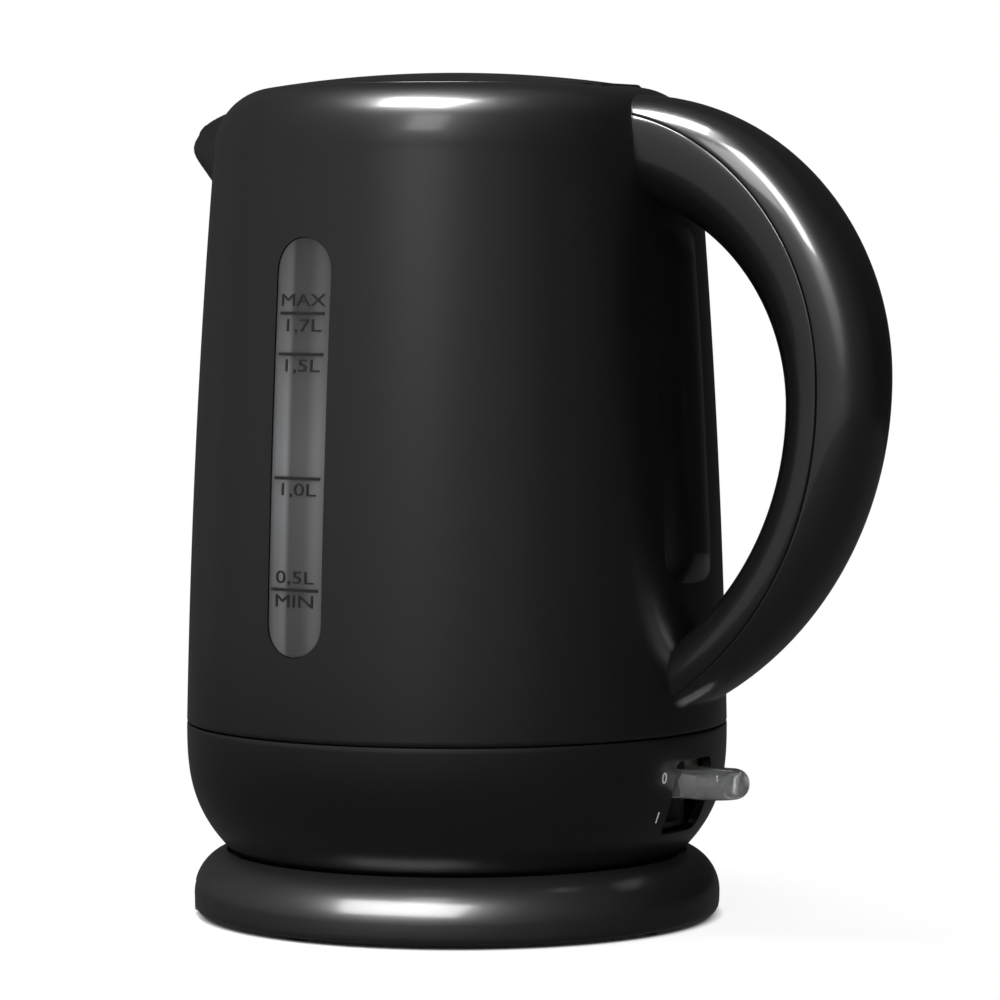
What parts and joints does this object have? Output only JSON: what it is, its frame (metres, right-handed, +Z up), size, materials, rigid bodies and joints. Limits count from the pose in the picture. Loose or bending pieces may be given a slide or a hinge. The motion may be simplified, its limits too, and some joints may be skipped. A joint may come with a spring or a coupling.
{
  "type": "electric kettle",
  "caption": "Cordless electric kettle: black jug with loop handle, hinged lid, short spout, side water gauge and rear switch, standing on a round power base.",
  "frame": {"origin": "the jug's turning axis where it meets the table, on the flat drum face under the base", "axes": "+Z up along the turning axis, +X towards the handle and the switch, -X towards the spout"},
  "size_m": [0.2193, 0.152, 0.236],
  "materials": {
    "gloss_black": "polished moulded plastic",
    "matt_black": "fine matt moulded plastic",
    "rubber": "soft rubber",
    "steel": "bright steel",
    "copper": "plated copper alloy",
    "smoked_clear": "smoked clear plastic",
    "clear_plastic": "clear plastic",
    "mark_ink": "printed marks",
    "silicone": "silicone",
    "aluminium": "cast",
    "ivory_plastic": "moulded",
    "lamp": "small neon lamp"
  },
  "bodies": {
    "base": {"base_cover": "gloss_black", "base_plate": "matt_black", "base_feet": "rubber", "base_screws": "steel", "socket_housing": "matt_black", "socket_contacts": "copper", "cord_gland": "matt_black", "cord_clamp": "matt_black"},
    "coupler": {"coupler_housing": "matt_black", "coupler_pins": "copper"},
    "jug": {"body_shell": "gloss_black", "gauge_window": "smoked_clear", "gauge_marks": "mark_ink", "spine_cover": "gloss_black", "handle_outer": "gloss_black", "handle_inner": "gloss_black", "handle_ribs": "matt_black", "lower_housing": "gloss_black", "housing_screws": "steel", "clamp_ring": "matt_black", "floor_seal": "silicone", "floor_plate": "steel", "heat_spreader": "aluminium", "heating_element": "steel", "element_terminals": "steel", "control_unit": "ivory_plastic", "bimetal_discs": "copper", "control_screws": "steel", "steam_tube": "ivory_plastic", "tube_grommet": "silicone", "steam_switch": "ivory_plastic", "steam_bimetal": "copper", "switch_bracket": "matt_black", "switch_pin": "steel", "indicator_lamp": "lamp", "filter_frame": "matt_black", "filter_mesh": "steel", "lid_hinge_pin": "steel", "snap_tongue": "matt_black"},
    "lever": {"power_lever": "clear_plastic"},
    "lid": {"lid_dome": "gloss_black", "lid_liner": "matt_black", "lid_seal": "silicone", "lid_screws": "steel", "button_springs": "steel", "latch_spring": "steel"},
    "button": {"lid_button": "gloss_black"},
    "bolt": {"latch_bolt": "steel"}
  },
  "joints": [
    {"name": "jug_lift", "type": "slide", "parent": "base", "child": "coupler", "axis": [0, 0, 1], "range_m": [0, 0.06]},
    {"name": "jug_swivel", "type": "hinge", "parent": "coupler", "child": "jug", "pos_m": [0, 0, 0.03], "axis": [0, 0, 1], "continuous": true},
    {"name": "switch_press", "type": "hinge", "parent": "jug", "child": "lever", "pos_m": [0.064, 0, 0.041], "axis": [0, 1, 0], "range_deg": [0, 18]},
    {"name": "lid_hinge", "type": "hinge", "parent": "jug", "child": "lid", "pos_m": [0.0508, 0, 0.23049], "axis": [0, 1, 0], "range_deg": [0, 80], "deforming": ["snap_tongue"]},
    {"name": "lid_button_press", "type": "slide", "parent": "lid", "child": "button", "axis": [0, 0, -1], "range_m": [0, 0.0025], "stiffness_N_per_m": 300, "springref_m": -0.002, "deforming": ["button_springs"]},
    {"name": "latch_pull", "type": "slide", "parent": "lid", "child": "bolt", "axis": [1, 0, 0], "range_m": [0, 0.0025], "deforming": ["latch_spring"]}
  ],
  "couplings": [
    {"joint": "latch_pull", "follows": "lid_button_press", "ratio": 1}
  ]
}
